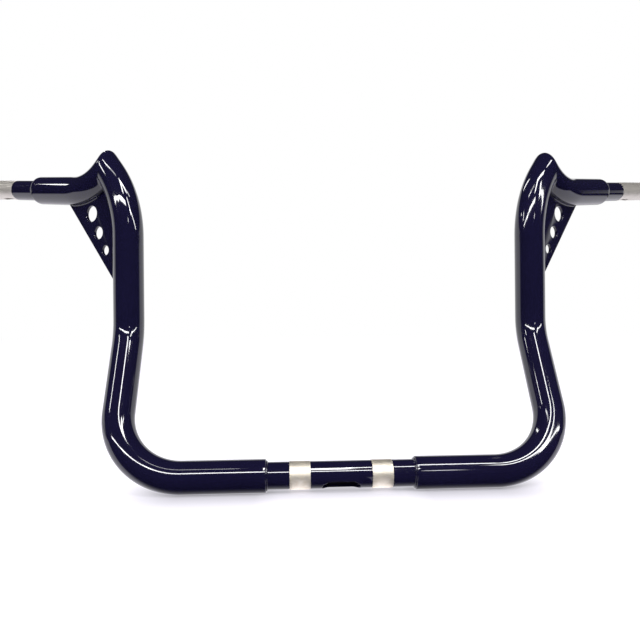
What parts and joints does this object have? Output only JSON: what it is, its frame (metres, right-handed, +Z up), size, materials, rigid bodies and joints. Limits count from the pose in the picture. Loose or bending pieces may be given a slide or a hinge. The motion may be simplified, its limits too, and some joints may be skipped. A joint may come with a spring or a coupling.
{
  "type": "motorcycle handlebar",
  "caption": "Tall welded steel motorcycle handlebar with leaned-back risers, pointed mitred corners, drilled gusset plates and pulled-back grip tubes",
  "frame": {"origin": "middle of the clamp tube, on its axis", "axes": "+X right along the clamp tube, +Y rearwards to the grips, +Z up along the upper risers"},
  "size_m": [1.059, 0.3175, 0.3859],
  "materials": {
    "powder_coat": "gloss",
    "bare_steel": "satin"
  },
  "bodies": {
    "root": {"clamp_tube": "powder_coat", "left_riser": "powder_coat", "left_elbow": "powder_coat", "left_grip_tube": "bare_steel", "left_gusset": "powder_coat", "right_riser": "powder_coat", "right_elbow": "powder_coat", "right_grip_tube": "bare_steel", "right_gusset": "powder_coat"}
  },
  "joints": []
}
